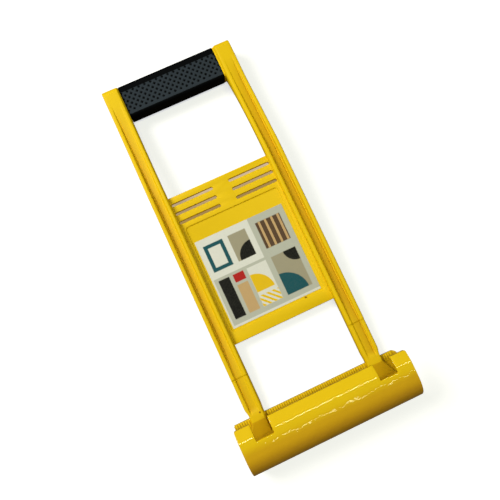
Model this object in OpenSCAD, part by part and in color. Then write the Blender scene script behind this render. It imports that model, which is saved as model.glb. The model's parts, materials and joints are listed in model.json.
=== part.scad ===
/* [Frame] */
// Width across the outer faces of the two rails
frame_w = 139; // [120:1:170]
// Width of one rail
rail_w = 17; // [15:0.5:22]
// Thickness of a rail, front to back, along its straight stretch
rail_t = 10.5; // [9:0.5:14]
// Height of the open window between the hook's back wall and the panel
lower_window_l = 68; // [55:1:90]
// Height of the open window for the hand, from the panel to the grip
hand_window_l = 93; // [88:1:120]

/* [Rail section] */
// Width of the rib along a rail's outer edge
outer_rib_w = 3.8; // [2.5:0.1:4.5]
// Width of the rib along a rail's inner edge
inner_rib_w = 4.1; // [2.5:0.1:4.5]
// Depth of the channel between the ribs, beside the panel
channel_depth = 4.2; // [2:0.1:5]
// Depth of the channel down the legs, where it is nearly flush
leg_channel_depth = 1.2; // [0.6:0.1:2]
// Width of the narrow groove beside the outer rib
groove_w = 1.2; // [0.8:0.1:2]
// How much deeper the narrow groove is than the channel floor
groove_depth = 1; // [0.6:0.1:2.2]
// How much lower the ribs stand on the legs than beside the panel
rib_step = 0.8; // [0.4:0.1:1]
// Distance from the panel's lower edge down to that step in the ribs
rib_step_drop = 29; // [20:1:32]
// How far each leg narrows on its outer side above the hook
leg_taper_out = 1.3; // [0.5:0.1:2]
// How far each leg narrows on its inner side above the hook
leg_taper_in = 0.5; // [0.2:0.1:1]
// Distance from the end of a leg's front face up to where it has narrowed
taper_rise = 8; // [4:0.5:12]
// Length over which it narrows
taper_l = 6; // [3:0.5:10]
// Distance from the end of a leg's front face up to the start of its channel
channel_start = 7.5; // [6:0.5:15]
// Distance above the panel's lower edge where the channel reaches its full depth
channel_run_in = 12; // [4:1:20]
// Distance below the panel's upper edge where the channel begins to get shallower
channel_run_out = 4; // [2:1:20]
// Distance above the start of the lean where the channel has faded to the share below
channel_fade = 26; // [16:1:40]
// Share of its full depth that the channel has there
fade_share = 0.8; // [0.5:0.05:0.9]
// Length of the short ramp at each end of a channel
channel_ramp = 4; // [2:0.5:6]

/* [Handle end] */
// How far the rails' front faces lean back between the panel and the handle
front_lean = 11; // [5:0.5:16]
// Length over which the front faces lean back
lean_l = 76; // [60:1:80]
// Distance above the panel where the lean starts
lean_start = 8; // [4:1:12]
// Radius of the curve that sweeps the rails' backs out to the handle
sweep_r = 200; // [180:5:215]
// Radius of the rails' upper ends, front and back
end_r = 6; // [4:0.5:10]
// Radius of the rails' outer upper corners, seen from the front
end_corner_r = 2; // [1:0.5:4]
// Distance from the rails' upper ends down to where the channels fade out
channel_land = 17.5; // [12:0.5:24]

/* [Grip] */
// Height of the grip, along the rails
grip_h = 34.6; // [28:0.2:38]
// Depth of the grip, front to back
grip_d = 24; // [22:0.5:30]
// How far the grip's face lies behind the rails' faces at the handle
grip_recess = 3.5; // [1:0.5:6]
// Radius of the grip's two front edges
grip_front_r = 4; // [2:0.5:6]
// Radius of the grip's two back edges
grip_back_r = 9; // [6:0.5:10]
// Thickness of the soft sleeve round the core
sleeve_t = 3; // [2:0.5:4]
// How far the sleeve's back stands proud of the rails' backs
sleeve_proud = 1.5; // [0.5:0.1:3]
// Width of the core's flange that the sleeve ends against on the right
flange_w = 1.5; // [0.5:0.1:6]
// How far the flange stays below the sleeve's surface
flange_inset = 0.4; // [0.2:0.1:2]

/* [Panel] */
// Height of the panel
panel_h = 154.5; // [140:0.5:175]
// How far the panel's face lies behind the rails' faces; its back is flush with theirs
panel_recess = 6; // [3:0.5:6]
// Number of slot rows
slot_rows = 3; // [1:1:3]
// Height of one slot
slot_h = 3; // [2:0.2:4]
// Spacing of the slot rows
slot_pitch = 9.3; // [8:0.1:11]
// Distance from the panel's upper edge to the middle of the first row
slot_drop = 7.8; // [6:0.1:9]
// Solid web between the left and right slots
slot_web = 17; // [12:1:30]
// Web between a slot's outer end and the rail
slot_edge = 0.6; // [0.4:0.1:3]
// Width of the label pocket
pocket_w = 98; // [96:0.5:99.5]
// Height of the label pocket
pocket_h = 110; // [96:1:112]
// Depth of the label pocket
pocket_depth = 1.1; // [0.8:0.1:2]
// Corner radius of the label pocket
pocket_r = 3; // [1:0.5:5]
// Distance from the panel's lower edge up to the pocket
pocket_rise = 11.6; // [6:0.2:15]

/* [Label] */
// Width of the label
label_w = 92.6; // [70:0.2:94]
// Height of the label
label_h = 91; // [70:1:92]
// Thickness of the label
label_t = 0.4; // [0.2:0.1:0.8]
// Gap from the pocket's lower edge up to the label
label_gap = 2.4; // [0.6:0.2:4]
// How far the label sits to the left of the middle
label_shift = 0.8; // [0:0.1:1]

/* [Hook] */
// Length of the hook along the edge of the carried sheet
hook_w = 170; // [140:1:200]
// Depth of the hook over its outer faces
hook_d = 42; // [38:0.5:50]
// Thickness of the hook's wall
hook_wall = 4.5; // [3.5:0.5:6]
// Height of the lip above the hook's underside
lip_h = 45.5; // [42:0.5:52]
// Height of the back wall above the hook's underside
back_h = 44; // [40:0.5:50]
// Height of the leaning band along the lip's upper edge
band_h = 10.5; // [8:0.5:12]
// How far that band leans in towards the rails
band_lean = 4; // [1:0.5:6]
// Depth of the two notches in the lip
notch_h = 15; // [10:0.5:16]
// Clearance of a notch on each side of the rail that it faces
notch_clear = 0.2; // [0:0.1:2]
// Corner radius at the lip's upper ends
lip_corner_r = 2; // [1:0.5:6]
// Corner radius at the back wall's upper left end
back_left_r = 1; // [0.5:0.5:8]
// Corner radius at the back wall's upper right end
back_right_r = 5; // [0.5:0.5:8]
// How far the rails' straps stand out of the hook's inner face
strap_t = 1.5; // [1:0.1:3]
// Distance from the back wall's top down to the end of a leg's front face
leg_drop = 4; // [1:0.5:6]
// Height above the hook's round centre where a leg's sloping foot begins
foot_rise = 4; // [1:0.5:8]
// Distance from the hook's end in to the outer corner of a leg's widened foot
foot_end_gap = 8.8; // [4:0.2:14]

/* [Hidden] */
$fn = 96;
yellow = "#E9B90C";
black = "#26292E";
white = "#E6E3D8";
over = 1; // how far a cutter runs past what it cuts

// Construction frame: x across, y from the hook's underside up to the handle,
// z out of the front, with z = 0 on the rails' front faces beside the panel
rail_out = frame_w / 2;
rail_in = rail_out - rail_w;
hook_r = hook_d / 2;
bore_r = hook_r - hook_wall;
hook_z = hook_r - rail_t; // height of the hook's round centre
panel_y0 = back_h + lower_window_l;
panel_y1 = panel_y0 + panel_h;
panel_t = rail_t - panel_recess;
grip_y0 = panel_y1 + hand_window_l;
top_y = grip_y0 + grip_h;
lean_y0 = panel_y1 + lean_start;
lean_y1 = lean_y0 + lean_l;
grip_front = -front_lean - grip_recess;
grip_back = grip_front - grip_d;
rail_back = grip_back + sleeve_proud;
step_y = panel_y0 - rib_step_drop;
leg_y = back_h - leg_drop;
foot_y = hook_r + foot_rise;
foot_out = hook_w / 2 - foot_end_gap;
strap_r = bore_r - strap_t;
notch_y = lip_h - notch_h;
channel_x0 = rail_in + inner_rib_w;
channel_x1 = rail_out - outer_rib_w;
channel_y1 = top_y - channel_land;
slot_in = slot_web / 2;
slot_out = rail_in - slot_edge;
pocket_y0 = panel_y0 + pocket_rise;

// Rest pose: the part lies on its back, on the hook's round back and on the
// lower back edge of the grip, so a common tangent of two circles sets its tilt
rest_y = grip_y0 + grip_back_r - hook_r;
rest_z = grip_back + grip_back_r - hook_z;
rest_tilt = asin((grip_back_r - hook_r) / norm([rest_y, rest_z])) - atan2(rest_z, rest_y);
rest_rise = hook_r - hook_r * sin(rest_tilt) - hook_z * cos(rest_tilt);
low_y = hook_r * cos(rest_tilt) - hook_z * sin(rest_tilt) - hook_r;
high_y = (top_y - end_r) * cos(rest_tilt) - (rail_back + end_r) * sin(rest_tilt) + end_r;
rest_shift = -(low_y + high_y) / 2;

// Lays the construction frame down in the rest pose
module laid() {
    translate([0, rest_shift, rest_rise])
        rotate([rest_tilt, 0, 0])
            children();
}

// Draws a side profile, x as y and y as z, and runs it across from x0 to x1
module across(x0, x1) {
    translate([x0, 0, 0])
        rotate([90, 0, 90])
            linear_extrude(x1 - x0)
                children();
}

// Draws a front outline and runs it through the whole depth of the part
module through() {
    translate([0, 0, grip_back - over])
        linear_extrude(hook_z + hook_r - grip_back + 2 * over)
            children();
}

// What a corner of radius r loses; the corner is at the origin, the solid at +x +y
module corner_loss(r) {
    difference() {
        translate([-over, -over])
            square(r + over);
        translate([r, r])
            circle(r);
    }
}

// Rectangle from the origin, with its own radius at each low and high corner
module rounded_rect(w, h, r_left, r_right) {
    difference() {
        square([w, h]);
        corner_loss(r_left);
        translate([0, h])
            mirror([0, 1])
                corner_loss(r_left);
        translate([w, 0])
            mirror([1, 0])
                corner_loss(r_right);
        translate([w, h])
            mirror([1, 0])
                mirror([0, 1])
                    corner_loss(r_right);
    }
}

// Front face of the ribs at a height y, for y above the step
function front_z(y) = y < lean_y0 ? 0 : y > lean_y1 ? -front_lean : -front_lean * (y - lean_y0) / lean_l;

// Side profile of a leg and of the curved end that carries the grip, with the
// step from the leg's front face up to the ribs' faces at the height step_at
module rail_side(step_at) {
    difference() {
        polygon([[back_h, -rail_t], [back_h, -rail_t + hook_wall], [hook_r, -rail_t + hook_wall],
            [hook_r, hook_z - strap_r], [foot_y, hook_z - strap_r], [leg_y, -rib_step],
            [step_at, -rib_step], [step_at, 0], [lean_y0, 0], [lean_y1, -front_lean],
            [top_y, -front_lean], [top_y, rail_back], [lean_y0, rail_back], [lean_y0, -rail_t]]);
        translate([lean_y0, -rail_t - sweep_r])
            circle(sweep_r, $fn = 240);
        translate([top_y, -front_lean])
            mirror([1, 0])
                mirror([0, 1])
                    corner_loss(end_r);
        translate([top_y, rail_back])
            mirror([1, 0])
                corner_loss(end_r);
    }
}

// Side profile of the strap that carries the leg on round the inside of the hook
module strap_side() {
    difference() {
        union() {
            intersection() {
                translate([hook_r, hook_z])
                    circle(bore_r);
                translate([-over, hook_z - hook_d])
                    square([hook_r + over, 2 * hook_d]);
            }
            translate([hook_r, hook_z + strap_r])
                square([notch_y - hook_r, strap_t]);
        }
        translate([hook_r, hook_z])
            circle(strap_r);
        translate([hook_r, hook_z - strap_r])
            square([hook_d, 2 * strap_r]);
    }
}

// Side profile of what a channel takes out of a rail, extra deeper than its floor
module channel_side(extra) {
    start_y = leg_y + channel_start;
    leg_floor = -rib_step - leg_channel_depth - extra;
    deep_floor = -channel_depth - extra;
    fade_y = lean_y0 + channel_fade;
    fade_floor = front_z(fade_y) - fade_share * channel_depth - extra;
    end_z = front_z(channel_y1);
    polygon([[start_y, over], [start_y, -rib_step], [start_y + channel_ramp, leg_floor], [step_y, leg_floor],
        [panel_y0 + channel_run_in, deep_floor], [panel_y1 - channel_run_out, deep_floor],
        [fade_y, fade_floor], [channel_y1 - channel_ramp, end_z - extra / 2], [channel_y1, end_z],
        [channel_y1, over]]);
}

// Front outline of the right-hand rail: narrower above the hook, wider at the foot
module rail_front() {
    taper_y = leg_y + taper_rise;
    leg_out = rail_out - leg_taper_out;
    leg_in = rail_in + leg_taper_in;
    difference() {
        polygon([[rail_in, top_y], [rail_out, top_y], [rail_out, taper_y + taper_l],
            [leg_out, taper_y], [leg_out, leg_y], [foot_out, foot_y], [foot_out, -over],
            [leg_in, -over], [leg_in, taper_y], [rail_in, taper_y + taper_l]]);
        translate([rail_out, top_y])
            mirror([1, 0])
                mirror([0, 1])
                    corner_loss(end_corner_r);
    }
}

// The stretch of the right-hand rail from y0 to y1, with its two ribs and its channel.
// The profile's own step lies beyond the stretch's end, so that the cut alone makes it
module rail(y0, y1, step_at) {
    intersection() {
        difference() {
            across(0, frame_w) rail_side(step_at);
            across(channel_x0, channel_x1) channel_side(0);
            across(channel_x1 - groove_w, channel_x1) channel_side(groove_depth);
        }
        through() rail_front();
        through() translate([0, y0]) square([hook_w, y1 - y0]);
    }
}

module strap() {
    intersection() {
        across(0, frame_w) strap_side();
        through() rail_front();
    }
}

module left_rail() {
    color(yellow) laid() mirror([1, 0, 0]) rail(step_y, top_y, step_y - over);
}

module right_rail() {
    color(yellow) laid() rail(step_y, top_y, step_y - over);
}

module left_leg() {
    color(yellow) laid() mirror([1, 0, 0]) rail(0, step_y, step_y + over);
}

module right_leg() {
    color(yellow) laid() rail(0, step_y, step_y + over);
}

module left_strap() {
    color(yellow) laid() mirror([1, 0, 0]) strap();
}

module right_strap() {
    color(yellow) laid() strap();
}

// Side profile of the grip, shrunk by inset all round
module grip_side(inset) {
    translate([grip_y0 + inset, grip_front - inset])
        rotate(-90)
            rounded_rect(grip_d - 2 * inset, grip_h - 2 * inset, grip_front_r, grip_back_r - inset);
}

module handle_core() {
    color(yellow) laid() {
        across(-rail_in, rail_in) grip_side(sleeve_t);
        across(rail_in - flange_w, rail_in) grip_side(flange_inset);
    }
}

module grip_sleeve() {
    color(black) laid() difference() {
        across(-rail_in, rail_in - flange_w) grip_side(0);
        across(-rail_in - over, rail_in + over) grip_side(sleeve_t);
    }
}

// One slot of the right-hand side, with round ends
module slot() {
    r = slot_h / 2;
    translate([slot_in + r, -r])
        square([slot_out - slot_in - slot_h, slot_h]);
    translate([slot_in + r, 0])
        circle(r);
    translate([slot_out - r, 0])
        circle(r);
}

module slots() {
    for (row = [0:slot_rows - 1]) {
        translate([0, panel_y1 - slot_drop - row * slot_pitch]) {
            slot();
            mirror([1, 0]) slot();
        }
    }
}

module centre_panel() {
    color(yellow) laid() difference() {
        translate([-rail_in, panel_y0, -panel_recess - panel_t])
            cube([2 * rail_in, panel_h, panel_t]);
        through() slots();
        translate([-pocket_w / 2, pocket_y0, -panel_recess - pocket_depth])
            linear_extrude(pocket_depth + over)
                rounded_rect(pocket_w, pocket_h, pocket_r, pocket_r);
    }
}

module label() {
    color(white) laid()
        translate([-label_w / 2 - label_shift, pocket_y0 + label_gap, -panel_recess - pocket_depth])
            cube([label_w, label_h, label_t]);
}

// The hook's flat back wall, behind the legs
module hook_back() {
    color(yellow) laid() intersection() {
        across(-hook_w / 2, hook_w / 2)
            translate([hook_r, -rail_t])
                square([back_h - hook_r, hook_wall]);
        through() hook_front(back_h, back_left_r, back_right_r);
    }
}

// The hook's round floor, from the back wall to the lip
module hook_floor() {
    color(yellow) laid() across(-hook_w / 2, hook_w / 2)
        difference() {
            translate([hook_r, hook_z])
                circle(hook_r);
            translate([hook_r, hook_z])
                circle(bore_r);
            translate([hook_r, hook_z - hook_r - over])
                square([hook_r + over, hook_d + 2 * over]);
        }
}

// Front outline of the hook up to height h, with its own radius at each upper corner
module hook_front(h, r_left, r_right) {
    difference() {
        translate([-hook_w / 2, -over])
            square([hook_w, h + over]);
        translate([-hook_w / 2, h])
            mirror([0, 1])
                corner_loss(r_left);
        translate([hook_w / 2, h])
            mirror([1, 0])
                mirror([0, 1])
                    corner_loss(r_right);
    }
}

// The lip: upright at first, then the band that leans in over the throat
module hook_lip() {
    front = hook_z + hook_r;
    back = front - hook_wall;
    band_y = lip_h - band_h;
    color(yellow) laid() intersection() {
        across(-hook_w / 2, hook_w / 2)
            polygon([[hook_r, front], [band_y, front], [lip_h, front - band_lean],
                [lip_h, back - band_lean], [band_y, back], [hook_r, back]]);
        through() difference() {
            hook_front(lip_h, lip_corner_r, lip_corner_r);
            for (side = [0, 1])
                mirror([side, 0])
                    translate([rail_in - notch_clear, notch_y])
                        square([rail_w + 2 * notch_clear, notch_h + over]);
        }
    }
}

left_rail();
right_rail();
left_leg();
right_leg();
left_strap();
right_strap();
handle_core();
grip_sleeve();
centre_panel();
label();
hook_back();
hook_floor();
hook_lip();
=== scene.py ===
import bpy
import bmesh
import json
import math
from mathutils import Matrix, Vector


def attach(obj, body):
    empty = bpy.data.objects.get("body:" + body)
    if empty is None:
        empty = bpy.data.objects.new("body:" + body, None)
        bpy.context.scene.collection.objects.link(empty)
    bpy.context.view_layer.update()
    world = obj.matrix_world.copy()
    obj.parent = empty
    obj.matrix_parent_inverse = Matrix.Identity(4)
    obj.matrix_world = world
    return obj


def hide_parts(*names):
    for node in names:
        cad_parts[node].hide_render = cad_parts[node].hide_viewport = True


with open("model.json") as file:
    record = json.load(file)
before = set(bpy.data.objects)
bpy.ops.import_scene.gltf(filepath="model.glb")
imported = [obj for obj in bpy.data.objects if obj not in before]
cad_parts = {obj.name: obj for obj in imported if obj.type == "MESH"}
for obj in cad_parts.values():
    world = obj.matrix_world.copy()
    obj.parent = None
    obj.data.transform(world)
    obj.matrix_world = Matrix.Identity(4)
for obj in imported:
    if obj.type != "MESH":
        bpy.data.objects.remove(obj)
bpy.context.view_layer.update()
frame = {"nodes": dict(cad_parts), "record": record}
print("frame loaded:", len(frame["nodes"]), "solids")

# Every piece is drawn in millimetres in an upright frame: x across, y from the hook's
# underside up to the grip, z out of the front, 0 on the rails' faces beside the panel.
body = {
    "railOut": 69.5, "railIn": 52.5, "railThick": 10.5, "hookWidth": 170.0, "hookDepth": 42.0, "hookWall": 4.5,
    "lipHeight": 45.5, "backHeight": 44.0, "panelLow": 112.0, "panelHigh": 266.5, "panelRecess": 6.0,
    "gripLow": 359.5, "top": 394.1, "gripFront": -14.5, "gripBack": -38.5,
}
hookRadius = body["hookDepth"] / 2
hookZ = hookRadius - body["railThick"]  # height of the hook's round centre
boreRadius = hookRadius - body["hookWall"]

# The flat back is a mount in the record, so it says how the part lies on the floor
backFace = next(m for m in frame["record"]["mounts"] if m["name"] == "back_face")
tilt = math.atan2(backFace["axis"][1], -backFace["axis"][2])
backPoint = Vector((0, (body["panelLow"] + body["panelHigh"]) / 2, -body["railThick"]))
placeTurn = Matrix.Rotation(tilt, 4, "X")
placeMatrix = Matrix.Translation(backFace["pos_m"]) @ placeTurn @ Matrix.Scale(0.001, 4) @ Matrix.Translation(-backPoint)


def ease(t):
    t = min(max(t, 0.0), 1.0)
    return t * t * (3 - 2 * t)


def blend(a, b, t):
    return a + (b - a) * min(max(t, 0.0), 1.0)


def span(low, high, count):
    return [low + (high - low) * i / count for i in range(count + 1)]


def roundCorners(corners, radii, steps):
    # Replaces each corner of a closed outline by an arc of steps + 1 points
    points = []
    for i, corner in enumerate(corners):
        here = Vector(corner)
        before = Vector(corners[i - 1]) - here
        after = Vector(corners[(i + 1) % len(corners)]) - here
        if min(before.length, after.length) < 1e-4:
            points += [here.copy() for k in range(steps + 1)]
            continue
        bend = before.angle(after)
        reach = min(radii[i] / math.tan(bend / 2), 0.45 * before.length, 0.45 * after.length)
        if math.pi - bend < 0.02:
            points += [here + after.normalized() * 0.01 * (k / steps - 0.5) for k in range(steps + 1)]
            continue
        radius = reach * math.tan(bend / 2)
        centre = here + (before.normalized() + after.normalized()).normalized() * radius / math.sin(bend / 2)
        start = here + before.normalized() * reach - centre
        end = here + after.normalized() * reach - centre
        for k in range(steps + 1):
            points.append(centre + start.slerp(end, k / steps).normalized() * radius if k not in (0, steps)
                          else centre + (start if k == 0 else end))
    return points


def newObject(name, verts, faces):
    mesh = bpy.data.meshes.new(name)
    mesh.from_pydata([tuple(v) for v in verts], [], faces)
    piece = bpy.data.objects.new(name, mesh)
    bpy.context.scene.collection.objects.link(piece)
    return piece


def loftRings(rings, capped=True):
    # Skins a list of closed rings that have the same number of points
    count = len(rings[0])
    verts = [p for ring in rings for p in ring]
    faces = []
    for j in range(len(rings) - 1):
        for i in range(count):
            k = (i + 1) % count
            faces.append((j * count + i, j * count + k, (j + 1) * count + k, (j + 1) * count + i))
    if capped:
        faces.append(tuple(reversed(range(count))))
        faces.append(tuple(range(len(verts) - count, len(verts))))
    return verts, faces


def cleanMesh(mesh, weld=0.002):
    work = bmesh.new()
    work.from_mesh(mesh)
    bmesh.ops.remove_doubles(work, verts=work.verts, dist=weld)
    bmesh.ops.dissolve_degenerate(work, edges=work.edges, dist=weld / 4)
    bmesh.ops.recalc_face_normals(work, faces=work.faces)
    work.to_mesh(mesh)
    work.free()


def applyModifiers(piece):
    deps = bpy.context.evaluated_depsgraph_get()
    mesh = bpy.data.meshes.new_from_object(piece.evaluated_get(deps))
    piece.modifiers.clear()
    piece.data = mesh


def addBevel(piece, width, segments=3, degrees=30):
    bevel = piece.modifiers.new("edges", "BEVEL")
    bevel.width = width
    bevel.segments = segments
    bevel.limit_method = "ANGLE"
    bevel.angle_limit = math.radians(degrees)
    bevel.use_clamp_overlap = True


def joinPieces(name, pieces):
    work = bmesh.new()
    for piece in pieces:
        work.from_mesh(piece.data)
        bpy.data.objects.remove(piece)
    joined = newObject(name, [], [])
    work.to_mesh(joined.data)
    work.free()
    return joined


def mirrorCopy(piece, name):
    verts = [Vector((-v.co.x, v.co.y, v.co.z)) for v in piece.data.vertices]
    faces = [tuple(reversed(p.vertices)) for p in piece.data.polygons]
    return newObject(name, verts, faces)


def markPaintedShade(piece, measure):
    # Stores a painted-shade amount for each vertex, 0 to 1, for the finish to darken
    depth = piece.data.attributes.new("paintedShade", "FLOAT", "POINT")
    for i, vertex in enumerate(piece.data.vertices):
        depth.data[i].value = measure(vertex.co)


def finishPiece(piece, material, nodes=(), sharp=38):
    # Lays the finished mesh down in its place and hands it to the frame
    if piece.modifiers:
        applyModifiers(piece)
    piece.data.transform(placeMatrix)
    piece.data.shade_smooth()
    piece.data.set_sharp_from_angle(angle=math.radians(sharp))
    piece.data.materials.clear()
    piece.data.materials.append(material)
    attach(piece, "root")
    if nodes:
        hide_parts(*nodes)
    return piece


# Node helpers for materials and for the geometry trees

def addNode(tree, kind, inputs=None, **settings):
    node = tree.nodes.new(kind)
    for key, value in settings.items():
        setattr(node, key, value)
    for key, value in (inputs or {}).items():
        if isinstance(value, bpy.types.NodeSocket):
            tree.links.new(value, node.inputs[key])
        else:
            node.inputs[key].default_value = value
    return node


def math2(tree, operation, a, b=0.0, c=0.0):
    node = addNode(tree, "ShaderNodeMath", {0: a, 1: b, 2: c}, operation=operation)
    return node.outputs[0]


def newGroup(name, ins, outs):
    group = bpy.data.node_groups.new(name, "ShaderNodeTree")
    for label, kind, value in ins:
        socket = group.interface.new_socket(name=label, in_out="INPUT", socket_type=kind)
        socket.default_value = value
    for label, kind in outs:
        group.interface.new_socket(name=label, in_out="OUTPUT", socket_type=kind)
    return group, group.nodes.new("NodeGroupInput"), group.nodes.new("NodeGroupOutput")


def makeMouldGroup():
    # Fine moulded grain, slow waviness and faint tone drift, for every moulded surface
    group, into, out = newGroup(
        "mouldedSkin",
        [("Grain Scale", "NodeSocketFloat", 900.0), ("Wave Scale", "NodeSocketFloat", 45.0),
         ("Grain Height", "NodeSocketFloat", 0.00002), ("Wave Height", "NodeSocketFloat", 0.0002),
         ("Coat Wave Height", "NodeSocketFloat", 0.0002),
         ("Base Roughness", "NodeSocketFloat", 0.35)],
        [("Height", "NodeSocketFloat"), ("Coat Height", "NodeSocketFloat"), ("Roughness", "NodeSocketFloat"),
         ("Drift", "NodeSocketFloat")])
    place = addNode(group, "ShaderNodeTexCoord").outputs["Object"]
    grain = addNode(group, "ShaderNodeTexNoise",
                    {"Vector": place, "Scale": into.outputs["Grain Scale"], "Detail": 3.0, "Roughness": 0.6})
    wave = addNode(group, "ShaderNodeTexNoise",
                   {"Vector": place, "Scale": into.outputs["Wave Scale"], "Detail": 2.0, "Roughness": 0.45})
    drift = addNode(group, "ShaderNodeTexNoise", {"Vector": place, "Scale": 14.0, "Detail": 4.0, "Roughness": 0.55})
    fine = math2(group, "MULTIPLY", grain.outputs["Fac"], into.outputs["Grain Height"])
    slow = math2(group, "MULTIPLY", wave.outputs["Fac"], into.outputs["Wave Height"])
    group.links.new(math2(group, "ADD", fine, slow), out.inputs["Height"])
    group.links.new(math2(group, "MULTIPLY", wave.outputs["Fac"], into.outputs["Coat Wave Height"]),
                    out.inputs["Coat Height"])
    spread = math2(group, "MULTIPLY_ADD", grain.outputs["Fac"], 0.10, -0.05)
    group.links.new(math2(group, "ADD", spread, into.outputs["Base Roughness"]), out.inputs["Roughness"])
    group.links.new(drift.outputs["Fac"], out.inputs["Drift"])
    return group


def makeScuffGroup():
    # Sparse hairline scuffs and dull dusty spots, as a mask
    group, into, out = newGroup(
        "handlingMarks",
        [("Amount", "NodeSocketFloat", 0.3), ("Scale", "NodeSocketFloat", 60.0)],
        [("Mask", "NodeSocketFloat")])
    place = addNode(group, "ShaderNodeTexCoord").outputs["Object"]
    turned = addNode(group, "ShaderNodeMapping", {"Vector": place, "Rotation": (0.0, 0.0, 0.6), "Scale": (1.0, 9.0, 1.0)})
    lines = addNode(group, "ShaderNodeTexNoise",
                    {"Vector": turned.outputs[0], "Scale": into.outputs["Scale"], "Detail": 5.0, "Roughness": 0.7})
    spots = addNode(group, "ShaderNodeTexNoise", {"Vector": place, "Scale": 22.0, "Detail": 2.0})
    cut = addNode(group, "ShaderNodeMapRange", {"Value": lines.outputs["Fac"], "From Min": 0.60, "From Max": 0.70})
    area = addNode(group, "ShaderNodeMapRange", {"Value": spots.outputs["Fac"], "From Min": 0.48, "From Max": 0.62})
    both = math2(group, "MULTIPLY", cut.outputs[0], area.outputs[0])
    group.links.new(math2(group, "MULTIPLY", both, into.outputs["Amount"]), out.inputs["Mask"])
    return group


mouldGroup = makeMouldGroup()
scuffGroup = makeScuffGroup()


def mixColours(tree, factor, first, second):
    node = addNode(tree, "ShaderNodeMix", data_type="RGBA")
    for index, value in ((0, factor), (6, first), (7, second)):
        if isinstance(value, bpy.types.NodeSocket):
            tree.links.new(value, node.inputs[index])
        else:
            node.inputs[index].default_value = value
    return node.outputs[2]


def newMaterial(name):
    material = bpy.data.materials.new(name)
    material.use_nodes = True
    return material, material.node_tree, material.node_tree.nodes["Principled BSDF"]


def makePlastic(name, look):
    material, tree, shader = newMaterial(name)
    skin = addNode(tree, "ShaderNodeGroup", node_tree=mouldGroup)
    for label in ("Grain Scale", "Wave Scale", "Grain Height", "Wave Height", "Coat Wave Height", "Base Roughness"):
        skin.inputs[label].default_value = look[label]
    marks = addNode(tree, "ShaderNodeGroup", {}, node_tree=scuffGroup)
    marks.inputs["Amount"].default_value = look["Scuffs"]
    tone = mixColours(tree, skin.outputs["Drift"], look["Colour A"], look["Colour B"])
    worn = mixColours(tree, marks.outputs["Mask"], tone, look["Worn"])
    # Painted shade: the stored amount mixes the colour towards the darker orange shade colour
    paintedShade = addNode(tree, "ShaderNodeAttribute", attribute_name="paintedShade").outputs["Fac"]
    tree.links.new(mixColours(tree, paintedShade, worn, look["Painted Shade"]), shader.inputs["Base Color"])
    dull = math2(tree, "MULTIPLY_ADD", marks.outputs["Mask"], 0.35, skin.outputs["Roughness"])
    tree.links.new(dull, shader.inputs["Roughness"])
    bump = addNode(tree, "ShaderNodeBump", {"Height": skin.outputs["Height"], "Strength": 1.0, "Distance": 1.0})
    tree.links.new(bump.outputs[0], shader.inputs["Normal"])
    film = addNode(tree, "ShaderNodeBump", {"Height": skin.outputs["Coat Height"], "Strength": 1.0, "Distance": 1.0})
    tree.links.new(film.outputs[0], shader.inputs["Coat Normal"])
    shader.inputs["Coat Weight"].default_value = look["Coat"]
    shader.inputs["Coat Roughness"].default_value = look["Coat Roughness"]
    shader.inputs["Specular IOR Level"].default_value = look["Specular"]
    return material


bodyLook = {
    "Colour A": (0.72, 0.465, 0.001, 1), "Colour B": (0.78, 0.525, 0.002, 1), "Worn": (0.84, 0.62, 0.03, 1),
    # The darker orange that stands in for shade in the channels, the notches and the hook's throat and underside
    "Painted Shade": (0.56, 0.29, 0.004, 1),
    "Grain Scale": 1600.0, "Wave Scale": 30.0, "Grain Height": 0.000012, "Wave Height": 0.00012,
    "Coat Wave Height": 0.0,
    "Base Roughness": 0.55, "Coat": 0.0, "Coat Roughness": 0.25, "Specular": 0.15, "Scuffs": 0.2,
}
hookLook = dict(bodyLook)
hookLook.update({
    "Wave Scale": 120.0, "Wave Height": 0.00025, "Coat Wave Height": 0.00022, "Coat": 0.75, "Coat Roughness": 0.02,
    "Specular": 0.06,
})
# A darker copy of the yellow plastic: painted shade, used for the bed between the serration ridges
shadeLook = dict(bodyLook)
shadeLook.update({"Colour A": (0.48, 0.28, 0.001, 1), "Colour B": (0.56, 0.34, 0.002, 1), "Specular": 0.1})
markLook = dict(bodyLook)
markLook.update({"Colour A": (0.26, 0.12, 0.001, 1), "Colour B": (0.36, 0.18, 0.002, 1), "Specular": 0.1})
bodyPlastic = makePlastic("yellowPlastic", bodyLook)
hookPlastic = makePlastic("glossyYellowPlastic", hookLook)
shadePlastic = makePlastic("shadedYellowPlastic", shadeLook)
markPlastic = makePlastic("scorchedYellowPlastic", markLook)
print("plastic finishes made")

# Rails: one long loft each, from inside the hook up to the curved end that carries the grip
rail = {
    "outerRib": 3.8, "innerRib": 4.1, "channel": 4.2, "legChannel": 1.2, "groove": 1.2, "grooveDeeper": 1.0,
    "step": 83.0, "stepDown": 0.8, "legEnd": 40.0, "footEnd": 25.0, "leanStart": 274.5, "leanLength": 76.0, "lean": 11.0,
    "sweep": 200.0, "endBack": -37.0, "endRadius": 6.0, "channelLand": 17.5, "flank": 1.7, "ribRound": 1.0,
    "taperOut": 1.3, "taperIn": 0.5, "sideRound": 1.4, "channelStart": 7.5, "channelRamp": 4.0, "cornerRound": 2.0,
    "footEndGap": 8.8,
}
strapRadius = boreRadius - 1.5


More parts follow.
